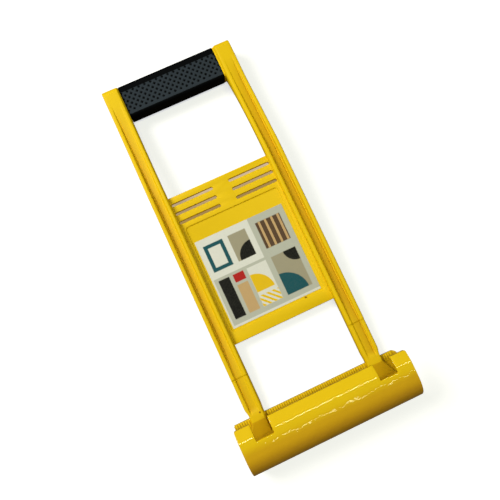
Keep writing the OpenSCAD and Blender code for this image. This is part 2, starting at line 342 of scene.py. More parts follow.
def railFront(y):
    if y < rail["legEnd"]:
        foot = hookZ - strapRadius
        return blend(foot, -rail["stepDown"], (y - rail["footEnd"]) / (rail["legEnd"] - rail["footEnd"]))
    front = -rail["stepDown"] * (1 - ease((y - rail["step"]) / 1.6 + 0.5))
    lean = (y - rail["leanStart"]) / rail["leanLength"]
    bend = 0.07  # share of the lean that is rounded at each end
    if lean < bend:
        rise = max(lean + bend, 0) ** 2 / (4 * bend)
    elif lean > 1 - bend:
        rise = 1 - max(1 + bend - lean, 0) ** 2 / (4 * bend)
    else:
        rise = lean
    front -= rail["lean"] * rise
    over = y - (body["top"] - rail["endRadius"])
    if over > 0:
        front -= rail["endRadius"] - math.sqrt(max(rail["endRadius"] ** 2 - over ** 2, 0))
    return front


def footWiden(y):
    # How far the foot stands out past the leg's outer side
    wide = body["hookWidth"] / 2 - rail["footEndGap"] - (body["railOut"] - rail["taperOut"])
    return wide * min(max((rail["legEnd"] - y) / (rail["legEnd"] - rail["footEnd"]), 0), 1)


def railBack(y):
    back = -body["railThick"]
    run = y - rail["leanStart"]
    if run > 0:
        back -= rail["sweep"] - math.sqrt(rail["sweep"] ** 2 - run ** 2) if run < 120 else 99
    back = max(back, rail["endBack"])
    over = y - (body["top"] - rail["endRadius"])
    if over > 0:
        back += rail["endRadius"] - math.sqrt(max(rail["endRadius"] ** 2 - over ** 2, 0))
    return back


def channelDepth(y):
    fadeTop = body["top"] - rail["channelLand"]
    if y < rail["step"]:
        return rail["legChannel"] * ease((y - rail["legEnd"] - rail["channelStart"]) / rail["channelRamp"])
    if y < body["panelLow"] + 12:
        return blend(rail["legChannel"], rail["channel"], (y - rail["step"]) / (body["panelLow"] + 12 - rail["step"]))
    start = body["panelHigh"] - 4
    return blend(rail["channel"], 0, (y - start) / (fadeTop - start))


def railRing(y, inset=0.0, outerInset=0.0):
    front, back = railFront(y), railBack(y)
    narrow = 1 - ease((y - 47) / 7)
    outer = body["railOut"] - rail["taperOut"] * narrow - outerInset + footWiden(y)
    inner = body["railIn"] + rail["taperIn"] * narrow + inset
    depth = channelDepth(y)
    fadeOut = min(max((body["top"] - rail["channelLand"] - y) / 12, 0), 1)
    deeper = rail["grooveDeeper"] * min(depth, 1.0) * fadeOut
    ribOut = body["railOut"] - rail["outerRib"] + footWiden(y)
    ribIn = body["railIn"] + rail["innerRib"]
    lean = min(depth * 0.16, 0.7)
    corners = [
        (inner, back), (outer, back), (outer, front), (ribOut, front),
        (ribOut - lean, front - depth - deeper), (ribOut - rail["groove"] - lean, front - depth - deeper),
        (ribOut - rail["groove"] - 0.5 - lean, front - depth), (ribIn + lean + 0.6, front - depth),
        (ribIn, front), (inner + rail["flank"] * 0.9, front), (inner, front - rail["flank"] * 1.2),
    ]
    side = rail["sideRound"] - inset * 0.5
    radii = [side, side, 1.2, rail["ribRound"], 0.3, 0.3, 0.4, 0.9, rail["ribRound"], 1.1, 0.8]
    return [Vector((p.x, y, p.y)) for p in roundCorners(corners, radii, 3)]


def makeRail():
    top, radius = body["top"], rail["endRadius"]
    stations = span(rail["footEnd"], rail["legEnd"] - 0.3, 6) + span(rail["legEnd"] + 0.3, rail["step"] - 3, 22)
    stations += span(rail["step"] - 1.4, rail["step"] + 1.4, 8) + span(rail["step"] + 4, rail["leanStart"] - 12, 36)
    stations += span(rail["leanStart"] - 9, rail["leanStart"] + 12, 12)
    stations += span(rail["leanStart"] + 15, top - radius, 44)[:-1]
    stations += [top - radius * (1 - math.sin(math.radians(a))) for a in span(0, 90, 16)]
    rings = []
    for y in stations:
        insets = []
        for tip in (1.0, rail["cornerRound"]):  # rounding of the end's inner and outer edges
            near = max(y - (top - tip), 0)
            insets.append(tip - math.sqrt(max(tip ** 2 - near ** 2, 0)))
        rings.append(railRing(y, *insets))
    piece = newObject("right_side_rail", *loftRings(rings))
    cleanMesh(piece.data)
    return piece


def railPaintedShade(place):
    # Painted shade on the sloping foot inside the hook, and on the channel's floor and groove
    x, y = abs(place.x), place.y
    if y < rail["legEnd"]:
        return 0.6
    below = railFront(y) - place.z
    onFloor = body["railIn"] + rail["innerRib"] < x < body["railOut"] - rail["outerRib"] + 0.1
    if not onFloor or below < max(channelDepth(y) - 0.2, 0.15) or place.z < railBack(y) + 1:
        return 0.0
    faint = min(channelDepth(y) / 3, 1)
    start = min(channelDepth(y), 1)
    if below > channelDepth(y) + 0.25:
        return 0.3 * start
    if x > body["railOut"] - rail["outerRib"] - rail["groove"] - 1.6:
        return 0.4 * start + 0.4 * faint
    return (0.6 if place.x > 0 else 0.2) * faint


rightRail = makeRail()
leftRail = mirrorCopy(rightRail, "left_side_rail")
cleanMesh(leftRail.data)
markPaintedShade(rightRail, railPaintedShade)
markPaintedShade(leftRail, railPaintedShade)
finishPiece(rightRail, bodyPlastic, ["right_rail", "right_leg"])
finishPiece(leftRail, bodyPlastic, ["left_rail", "left_leg"])
print("rails made")

# Panel: a plate with six slots and a shallow pocket for the label
panel = {
    "rows": 3, "slotHeight": 3.0, "slotPitch": 9.3, "slotDrop": 7.8, "slotInner": 8.5, "slotOuter": 52.0,
    "pocketWidth": 98.0, "pocketHeight": 110.0, "pocketRise": 11.6, "pocketDepth": 1.1, "pocketRound": 3.0,
    "tuck": 1.2, "edgeRound": 0.7,
}
panelFront = -body["panelRecess"]
pocketLow = body["panelLow"] + panel["pocketRise"]


def slabFrom(name, outline, low, high):
    count = len(outline)
    rings = [[Vector((p[0], p[1], z)) for p in outline] for z in (low, high)]
    piece = newObject(name, *loftRings(rings))
    cleanMesh(piece.data)
    return piece


def boxOutline(x0, y0, x1, y1, radius, steps=6):
    corners = [(x0, y0), (x1, y0), (x1, y1), (x0, y1)]
    return roundCorners(corners, [radius] * 4, steps)


def cutAway(piece, cutter):
    cut = piece.modifiers.new("cut", "BOOLEAN")
    cut.operation = "DIFFERENCE"
    cut.solver = "EXACT"
    cut.object = cutter
    applyModifiers(piece)
    bpy.data.objects.remove(cutter)


def makePanel():
    half = body["railIn"] + panel["tuck"]
    plate = slabFrom("centre_plate", [(-half, body["panelLow"]), (half, body["panelLow"]), (half, body["panelHigh"]),
                                      (-half, body["panelHigh"])], -body["railThick"], panelFront)
    holes = []
    for row in range(panel["rows"]):
        y = body["panelHigh"] - panel["slotDrop"] - row * panel["slotPitch"]
        for side in (-1, 1):
            ends = sorted((side * panel["slotInner"], side * panel["slotOuter"]))
            low, high = y - panel["slotHeight"] / 2, y + panel["slotHeight"] / 2
            outline = boxOutline(ends[0], low, ends[1], high, panel["slotHeight"] * 0.449, 8)
            holes.append(slabFrom("slot", outline, -body["railThick"] - 2, panelFront + 2))
    pocket = boxOutline(-panel["pocketWidth"] / 2, pocketLow, panel["pocketWidth"] / 2, pocketLow + panel["pocketHeight"],
                        panel["pocketRound"])
    holes.append(slabFrom("pocket", pocket, panelFront - panel["pocketDepth"], panelFront + 2))
    cutAway(plate, joinPieces("cutters", holes))
    addBevel(plate, panel["edgeRound"], 3, 40)
    return plate


finishPiece(makePanel(), bodyPlastic, ["centre_panel"])
print("panel made")

# Hook: the flat back, the round floor and the lip are one bent sheet with two notches in the lip
hook = {
    "bandHeight": 10.5, "bandLean": 4.0, "notchDepth": 15.0, "notchClear": 0.2, "lipRound": 2.0, "backLeft": 1.0, "backRight": 5.0,
    "edgeRound": 0.9, "bendRound": 2.8, "swellLength": 9.0, "swellRadius": 105.0,
    "inside": 0.03,  # how far the round outside and the ends stay inside the CAD box
}


def hookSections():
    # Pairs of outer and inner points along the bent sheet, as (length along it, outer, inner)
    wall, radius = body["hookWall"], hookRadius
    front = hookZ + radius
    bandLow = body["lipHeight"] - hook["bandHeight"]
    leanAngle = math.atan2(hook["bandLean"], hook["bandHeight"])
    pairs = []
    for y in [body["backHeight"] - v for v in (0, 0.5, 1, 2, 3, 4, 5)] + span(body["backHeight"] - 6, radius, 8)[:-1]:
        pairs.append(((y, hookZ - radius), (y, hookZ - radius + wall)))
    sag = hook["swellLength"] ** 2 / 2 / hook["swellRadius"]
    for a in span(-90, 90, 36):
        c, s = -math.cos(math.radians(a)), math.sin(math.radians(a))
        reach = radius - hook["inside"] - sag * ease((a - 40) / 50)
        pairs.append(((radius + reach * c, hookZ + reach * s), (radius + boreRadius * c, hookZ + boreRadius * s)))
    reach = hook["bendRound"] * 1.3
    notchLow = body["lipHeight"] - hook["notchDepth"]
    for y in span(radius, notchLow, 8)[1:]:
        low = max(radius + hook["swellLength"] - y, 0)
        pairs.append(((y, front - low ** 2 / 2 / hook["swellRadius"]), (y, front - wall)))
    centre = (bandLow - reach * 0.5, front - reach / math.tan(leanAngle / 2) * 0.5)
    turn = reach / math.tan(leanAngle / 2) * 0.5
    for k in range(5):
        a = leanAngle * k / 4
        y = centre[0] + turn * math.sin(a)
        z = centre[1] + turn * math.cos(a)
        pairs.append(((y, z), (y, z - wall)))
    slope = hook["bandLean"] / hook["bandHeight"]
    startY = pairs[-1][0][0]
    round0 = body["lipHeight"] - hook["lipRound"]
    for y in span(startY, round0, 4)[1:] + [round0 + v * hook["lipRound"] for v in (0.25, 0.5, 0.75, 1)]:
        z = front - (y - bandLow) * slope
        pairs.append(((y, z), (y, z - wall)))
    return pairs, notchLow, round0


def roundSheetCorner(x, s, cornerX, cornerS, radius):
    # Bends the last square of the grid at a sheet's corner into a quarter circle
    a = (abs(x) - (cornerX - radius)) / radius
    b = (s - (cornerS - radius)) / radius
    if a <= 0 or b <= 0:
        return x, s
    rho = max(a, b)
    theta = math.pi / 4 * b / a if a >= b else math.pi / 2 - math.pi / 4 * a / b
    a, b = rho * math.cos(theta), rho * math.sin(theta)
    return math.copysign(cornerX - radius + a * radius, x), cornerS - radius + b * radius


def makeHook():
    pairs, notchLow, round0 = hookSections()
    half = body["hookWidth"] / 2 - hook["inside"]
    notch0 = body["railIn"] - hook["notchClear"]
    notch1 = body["railOut"] + hook["notchClear"]
    edge = [half - r for r in (4.0, 3.5, 3, 2.5, 2, 1.5, 1, 0.5, 0)]
    right = span(notch0, notch1, 6) + span(notch1, half - 4.0, 4)[1:-1] + edge
    middle = span(-notch0, notch0, 28)[1:-1]
    xs = sorted([-x for x in right] + middle + right)
    last = len(pairs) - 1

    def sheetPoint(x, k, skin):
        y, z = pairs[k][skin]
        if y > body["lipHeight"] - hook["lipRound"] and k > last // 2:
            newX, newY = roundSheetCorner(x, y, half, body["lipHeight"], hook["lipRound"])
            slope = hook["bandLean"] / hook["bandHeight"]
            return Vector((newX, newY, z + (y - newY) * slope))
        if y > body["backHeight"] - 6 and k < last // 2:
            newX, newY = roundSheetCorner(x, y, half, body["backHeight"], hook["backLeft" if x < 0 else "backRight"])
            return Vector((newX, newY, z))
        return Vector((x, y, z))

    verts = [sheetPoint(x, k, skin) for skin in (0, 1) for x in xs for k in range(last + 1)]
    rows = len(xs)

    def at(skin, j, k):
        return (skin * rows + j) * (last + 1) + k

    def present(j, k):
        if not (0 <= j < rows - 1 and 0 <= k < last):
            return False
        middleX = abs(xs[j] + xs[j + 1]) / 2
        high = k > last // 2 and min(pairs[k][0][0], pairs[k + 1][0][0]) >= notchLow - 0.01
        return not (notch0 < middleX < notch1 and high)

    faces = []
    for j in range(rows - 1):
        for k in range(last):
            if not present(j, k):
                continue
            faces.append((at(0, j, k), at(0, j, k + 1), at(0, j + 1, k + 1), at(0, j + 1, k)))
            faces.append((at(1, j, k), at(1, j + 1, k), at(1, j + 1, k + 1), at(1, j, k + 1)))
            sides = [((j - 1, k), (j, k), (j, k + 1)), ((j + 1, k), (j + 1, k + 1), (j + 1, k)),
                     ((j, k - 1), (j + 1, k), (j, k)), ((j, k + 1), (j, k + 1), (j + 1, k + 1))]
            for cell, a, b in sides:
                if not present(*cell):
                    faces.append((at(0, *a), at(1, *a), at(1, *b), at(0, *b)))
    piece = newObject("board_hook", verts, faces)
    cleanMesh(piece.data)
    addBevel(piece, hook["edgeRound"], 3, 50)
    applyModifiers(piece)
    return piece


def hookPaintedShade(place):
    # Painted shade inside the throat, and on the front's lower part, darker towards the bottom where it turns to the
    # floor
    inside = math.hypot(min(place.y - hookRadius, 0), place.z - hookZ) < boreRadius + 1.0
    if inside and place.y < body["backHeight"] - 2:
        return 0.6
    if place.z < 0:
        return 0.0
    return 0.75 * ease((31 - place.y) / 11) + 0.6 * ease((20 - place.y) / 20)


boardHook = makeHook()
markPaintedShade(boardHook, hookPaintedShade)
finishPiece(boardHook, hookPlastic, ["hook_back", "hook_floor", "hook_lip"], 30)


def makeStrap():
    # The band that carries the leg on round the inside of the hook, up to the notch
    narrowIn = body["railIn"] + rail["taperIn"]
    narrowOut = body["railOut"] - rail["taperOut"] + footWiden(rail["footEnd"])
    path = [(rail["footEnd"] + 1, hookZ - strapRadius, 0, 1)]
    path += [(hookRadius - strapRadius * math.cos(math.radians(a)), hookZ + strapRadius * math.sin(math.radians(a)),
              math.cos(math.radians(a)), -math.sin(math.radians(a))) for a in span(-90, 90, 30)]
    path.append((body["lipHeight"] - hook["notchDepth"] - 0.4, hookZ + strapRadius, 0, -1))
    rings = []
    for y, z, ny, nz in path:
        ring = []
        for x, sink in ((narrowIn, 2.2), (narrowIn, 0.35), (narrowIn + 0.35, 0), (narrowOut - 0.35, 0), (narrowOut, 0.35),
                        (narrowOut, 2.2)):
            ring.append(Vector((x, y - ny * sink, z - nz * sink)))
        rings.append(ring)
    piece = newObject("right_strap_band", *loftRings(rings))
    cleanMesh(piece.data)
    return piece


rightStrap = makeStrap()
leftStrap = mirrorCopy(rightStrap, "left_strap_band")
cleanMesh(leftStrap.data)
# Painted shade over the whole band inside the hook, seen through the notches
markPaintedShade(rightStrap, lambda place: 0.6)
markPaintedShade(leftStrap, lambda place: 0.6)
finishPiece(rightStrap, bodyPlastic, ["right_strap"])
finishPiece(leftStrap, bodyPlastic, ["left_strap"])
print("hook made")

# Gate marks: two small darker spots left by the moulding
gate = {"radius": 0.85, "proud": 0.15, "spots": ((28.0, 124.5, -6.0), (-57.3, 46.3, -0.8))}


def makeGateMarks():
    spots = []
    for x, y, z in gate["spots"]:
        size = gate["radius"]
        outline = boxOutline(x - size, y - size, x + size, y + size, size * 0.9, 4)
        spots.append(slabFrom("gate_mark", outline, z - 0.5, z + gate["proud"]))
    return joinPieces("gate_marks", spots)


finishPiece(makeGateMarks(), markPlastic)


# Geometry Nodes trees

def newTree(name, ins):
    tree = bpy.data.node_groups.new(name, "GeometryNodeTree")
    tree.interface.new_socket(name="Geometry", in_out="INPUT", socket_type="NodeSocketGeometry")
    for label, kind, value in ins:
        socket = tree.interface.new_socket(name=label, in_out="INPUT", socket_type=kind)
        if value is not None:
            socket.default_value = value
    tree.interface.new_socket(name="Geometry", in_out="OUTPUT", socket_type="NodeSocketGeometry")
    return tree, tree.nodes.new("NodeGroupInput"), tree.nodes.new("NodeGroupOutput")


def runTree(piece, tree, values):
    # Sets the inputs by identifier, evaluates the tree and keeps the plain mesh
    modifier = piece.modifiers.new(tree.name, "NODES")
    modifier.node_group = tree
    for item in tree.interface.items_tree:
        if item.item_type == "SOCKET" and item.in_out == "INPUT" and item.name in values:
            modifier[item.identifier] = values[item.name]
    applyModifiers(piece)
    return piece


def closeTree(tree, geometry, material, out):
    real = addNode(tree, "GeometryNodeRealizeInstances", {"Geometry": geometry})
    final = addNode(tree, "GeometryNodeSetMaterial", {"Geometry": real.outputs[0]})
    final.inputs["Material"].default_value = material
    tree.links.new(final.outputs[0], out.inputs[0])


# Serration: short upright ridges along the inside of the hook's back wall
serration = {"pitch": 2.35, "width": 1.6, "proud": 0.35, "rise": 0.25, "low": 36.5, "gap": 0.3, "bed": 0.12}
backInside = hookZ - hookRadius + body["hookWall"]


def makeRidge():
    half = serration["width"] / 2
    z0 = backInside - 1.2
    z1 = backInside + serration["proud"]
    low, high = serration["low"], body["backHeight"] + serration["rise"]
    rings = []
    for y, shrink, drop in ((low, 0.6, 0.5), (low + 0.8, 0.15, 0), (high - 0.8, 0.15, 0), (high, 0.5, 0.45)):
        rings.append([Vector((-half, y, z0)), Vector((half, y, z0)), Vector((half * (1 - shrink), y, z1 - drop)),
                      Vector((-half * (1 - shrink), y, z1 - drop))])
    ridge = newObject("ridge", *loftRings(rings))
    cleanMesh(ridge.data)
    return ridge


def makeSerrationTree():
    tree, into, out = newTree("ridgeRow", [
        ("Ridge", "NodeSocketObject", None), ("Start", "NodeSocketFloat", 0.0), ("Pitch", "NodeSocketFloat", 2.0),
        ("Count", "NodeSocketInt", 10)])
    step = addNode(tree, "ShaderNodeCombineXYZ", {"X": into.outputs["Pitch"]})
    begin = addNode(tree, "ShaderNodeCombineXYZ", {"X": into.outputs["Start"]})
    line = addNode(tree, "GeometryNodeMeshLine",
                   {"Count": into.outputs["Count"], "Start Location": begin.outputs[0], "Offset": step.outputs[0]})
    ridge = addNode(tree, "GeometryNodeObjectInfo", {"Object": into.outputs["Ridge"]})
    copies = addNode(tree, "GeometryNodeInstanceOnPoints",
                     {"Points": line.outputs[0], "Instance": ridge.outputs["Geometry"]})
    closeTree(tree, copies.outputs[0], bodyPlastic, out)
    return tree


def makeSerration():
    ridge = makeRidge()
    tree = makeSerrationTree()
    half = body["hookWidth"] / 2
    rows, beds = [], []
    for low, high in ((-half + 1.2, -body["railOut"]), (-body["railIn"], body["railIn"]), (body["railOut"], half - 4)):
        count = int((high - low - 2 * serration["gap"] - serration["width"]) / serration["pitch"]) + 1
        start = (low + high - (count - 1) * serration["pitch"]) / 2
        beds.append(slabFrom("ridge_bed", boxOutline(low, serration["low"], high, body["backHeight"] - 0.4, 0.5, 2),
                             backInside - 0.5, backInside + serration["bed"]))
        row = newObject("ridge_row", [], [])
        rows.append(runTree(row, tree, {"Ridge": ridge, "Start": start, "Pitch": serration["pitch"], "Count": count}))
    bpy.data.objects.remove(ridge)
    return joinPieces("hook_serration", rows), joinPieces("serration_bed", beds)


serrationRow, serrationBed = makeSerration()
finishPiece(serrationRow, bodyPlastic)
# The bed is the darker plastic: painted shade between the ridges
finishPiece(serrationBed, shadePlastic)
print("serration made")

# Grip: the bar between the rails and its soft sleeve, knurled on the front
grip = {
    "sleeve": 3.0, "flange": 1.5, "flangeInset": 0.4, "frontRound": 4.0, "backRound": 9.0, "endRound": 0.8, "knurlPitch": 6.35, "knurlDepth": 0.8,
    "ridge": 0.36, "knurlHalf": 10.4, "knurlDrop": 0.9, "step": 0.42,
}


def gripOutline(inset, fine):
    # Closed section of the grip as (y, z) points; the front stretch is fine enough for the knurl
    y0, y1 = body["gripLow"] + inset, body["top"] - inset
    z0, z1 = body["gripBack"] + inset, body["gripFront"] - inset
    corners = [(y0, z0), (y1, z0), (y1, z1), (y0, z1)]
    back, front = grip["backRound"] - inset, max(grip["frontRound"] - inset, 1.2)
    points = roundCorners(corners, [back, back, front, front], 10)
    split = 33  # the front face lies between the third corner's arc and the fourth's
    count = max(int((points[split - 1] - points[split]).length / fine), 1)
    extra = [points[split - 1].lerp(points[split], k / count) for k in range(1, count)]
    return points[:split] + extra + points[split:]


def makeBar(name, inset, x0, x1, fine, alongStep, endRound):
    stations = [(x0 + endRound * (1 - math.cos(math.radians(a))), endRound * (1 - math.sin(math.radians(a))))
                for a in span(0, 90, 4)]
    count = max(int((x1 - x0 - 2 * endRound) / alongStep), 2)
    stations += [(x, 0.0) for x in span(x0 + endRound, x1 - endRound, count)[1:-1]]
    stations += [(x0 + x1 - x, r) for x, r in reversed(stations[:5])]
    rings = []
    for x, shrink in stations:
        ring = gripOutline(inset, fine)
        middle = Vector(((body["gripLow"] + body["top"]) / 2, (body["gripFront"] + body["gripBack"]) / 2))
        scaleY = 1 - 2 * shrink / (body["top"] - body["gripLow"])
        scaleZ = 1 - 2 * shrink / (body["gripFront"] - body["gripBack"])
        rings.append([Vector((x, middle.x + (p.x - middle.x) * scaleY, middle.y + (p.y - middle.y) * scaleZ)) for p in ring])
    piece = newObject(name, *loftRings(rings))
    cleanMesh(piece.data)
    return piece


def makeKnurlTree():
    # Sinks a lattice of square pits, set on their corners, into the front face
    tree, into, out = newTree("knurlPits", [
        ("Pitch", "NodeSocketFloat", 6.0), ("Depth", "NodeSocketFloat", 0.7), ("Ridge", "NodeSocketFloat", 0.6),
        ("Centre Y", "NodeSocketFloat", 0.0), ("Half Height", "NodeSocketFloat", 12.0),
        ("Half Width", "NodeSocketFloat", 48.0), ("Centre X", "NodeSocketFloat", 0.0), ("Front", "NodeSocketFloat", 0.0)])
    place = addNode(tree, "ShaderNodeSeparateXYZ", {0: addNode(tree, "GeometryNodeInputPosition").outputs[0]})
    x = math2(tree, "SUBTRACT", place.outputs["X"], into.outputs["Centre X"])
    y = math2(tree, "SUBTRACT", place.outputs["Y"], into.outputs["Centre Y"])

    def towardsPit(sign):
        # Distance from the nearest lattice line of one family, 0 on the line and 0.5 between two
        along = math2(tree, "MULTIPLY_ADD", y, sign, x)
        cells = math2(tree, "DIVIDE", along, into.outputs["Pitch"])
        return math2(tree, "ABSOLUTE", math2(tree, "SUBTRACT", math2(tree, "FRACT", cells), 0.5))

    # 0 at a pit's middle and 0.5 on the ridge between two pits
    far = math2(tree, "MAXIMUM", towardsPit(1.0), towardsPit(-1.0))
    edge = math2(tree, "MULTIPLY_ADD", into.outputs["Ridge"], -0.5, 0.5)
    pit = addNode(tree, "ShaderNodeMapRange", {"Value": far, "From Max": edge, "To Min": 1.0, "To Max": 0.0},
                  interpolation_type="SMOOTHSTEP")
    tree.links.new(math2(tree, "MULTIPLY", edge, 0.45), pit.inputs["From Min"])

    def inside(value, half):
        room = math2(tree, "SUBTRACT", half, math2(tree, "ABSOLUTE", value))
        return math2(tree, "LESS_THAN", 0.0, room)

    onFace = math2(tree, "GREATER_THAN", place.outputs["Z"], math2(tree, "SUBTRACT", into.outputs["Front"], 0.05))
    field = math2(tree, "MULTIPLY", inside(y, into.outputs["Half Height"]), inside(x, into.outputs["Half Width"]))
    mask = math2(tree, "MULTIPLY", math2(tree, "MULTIPLY", field, onFace), pit.outputs[0])
    keep = addNode(tree, "GeometryNodeStoreNamedAttribute", {"Geometry": into.outputs["Geometry"], "Name": "pitDepth"},
                   data_type="FLOAT", domain="POINT")
    tree.links.new(mask, keep.inputs["Value"])
    # The knurl field and the lower half of the flat front face are stored for the finish to colour lighter: painted
    # light
    face = addNode(tree, "GeometryNodeStoreNamedAttribute", {"Geometry": keep.outputs[0], "Name": "knurlField"},
                   data_type="FLOAT", domain="POINT")
    lower = math2(tree, "MULTIPLY", math2(tree, "LESS_THAN", y, 0.0), onFace)
    tree.links.new(math2(tree, "MAXIMUM", math2(tree, "MULTIPLY", field, onFace), lower), face.inputs["Value"])
    down = math2(tree, "MULTIPLY", math2(tree, "MULTIPLY", mask, into.outputs["Depth"]), -1.0)
    move = addNode(tree, "ShaderNodeCombineXYZ", {"Z": down})
    moved = addNode(tree, "GeometryNodeSetPosition", {"Geometry": face.outputs[0], "Offset": move.outputs[0]})
    closeTree(tree, moved.outputs[0], gripRubber, out)
    return tree


# face is the lighter colour of the flat front and shadedMargin the near black of the rounded margins: painted light and
# shade; pit is painted shade in the pits
gripLook = {
    "face": (0.026, 0.034, 0.044, 1), "shadedMargin": (0.0015, 0.0018, 0.0025, 1), "pit": (0.001, 0.001, 0.0015, 1),
    "roughness": 0.65, "grain": 1400.0, "specular": 0.03,
}


def makeGripRubber():
    material, tree, shader = newMaterial("softGripRubber")
    place = addNode(tree, "ShaderNodeTexCoord").outputs["Object"]
    pit = addNode(tree, "ShaderNodeAttribute", attribute_name="pitDepth").outputs["Fac"]
    field = addNode(tree, "ShaderNodeAttribute", attribute_name="knurlField").outputs["Fac"]
    noise = addNode(tree, "ShaderNodeTexNoise", {"Vector": place, "Scale": gripLook["grain"], "Detail": 2.0})
    # Painted light and shade: lighter on the flat front face, near black on the rounded margins
    base = mixColours(tree, field, gripLook["shadedMargin"], gripLook["face"])
    marks = addNode(tree, "ShaderNodeGroup", node_tree=scuffGroup)
    marks.inputs["Amount"].default_value = 0.18
    dusty = mixColours(tree, marks.outputs["Mask"], base, (0.06, 0.065, 0.07, 1))
    # Painted shade: the pits are coloured near black
    tree.links.new(mixColours(tree, pit, dusty, gripLook["pit"]), shader.inputs["Base Color"])
    rough = math2(tree, "MULTIPLY_ADD", noise.outputs["Fac"], 0.14, gripLook["roughness"] - 0.07)
    tree.links.new(rough, shader.inputs["Roughness"])
    height = math2(tree, "MULTIPLY", noise.outputs["Fac"], 0.00003)
    bump = addNode(tree, "ShaderNodeBump", {"Height": height, "Strength": 1.0, "Distance": 1.0})
    tree.links.new(bump.outputs[0], shader.inputs["Normal"])
    shader.inputs["Specular IOR Level"].default_value = gripLook["specular"]
    return material


gripRubber = makeGripRubber()
railIn = body["railIn"]
core = makeBar("core", grip["sleeve"], -railIn - 0.8, railIn + 0.8, 40, 12, 0.3)
flange = makeBar("flange", grip["flangeInset"], railIn - grip["flange"] + 0.02, railIn + 0.8, 40, 12, 0.2)
finishPiece(joinPieces("grip_core_bar", [core, flange]), bodyPlastic, ["handle_core"])
sleeve = makeBar("soft_grip_sleeve", 0.0, -railIn + 0.05, railIn - grip["flange"], grip["step"], grip["step"],
                 grip["endRound"])
runTree(sleeve, makeKnurlTree(), {
    "Pitch": grip["knurlPitch"], "Depth": grip["knurlDepth"], "Ridge": grip["ridge"],
    "Centre Y": (body["gripLow"] + body["top"]) / 2 - grip["knurlDrop"], "Half Height": grip["knurlHalf"],
    "Half Width": railIn - grip["flange"] / 2 - 1.2, "Centre X": -grip["flange"] / 2, "Front": body["gripFront"],
})
finishPiece(sleeve, gripRubber, ["grip_sleeve"], 60)
print("grip made")

# Label: a thin printed sheet in the pocket, with a plain design of blocks, bands and arcs
labelSheet = {"width": 92.6, "height": 91.0, "thick": 0.4, "gap": 2.4, "shift": 0.8, "wave": 0.12, "cells": 46}


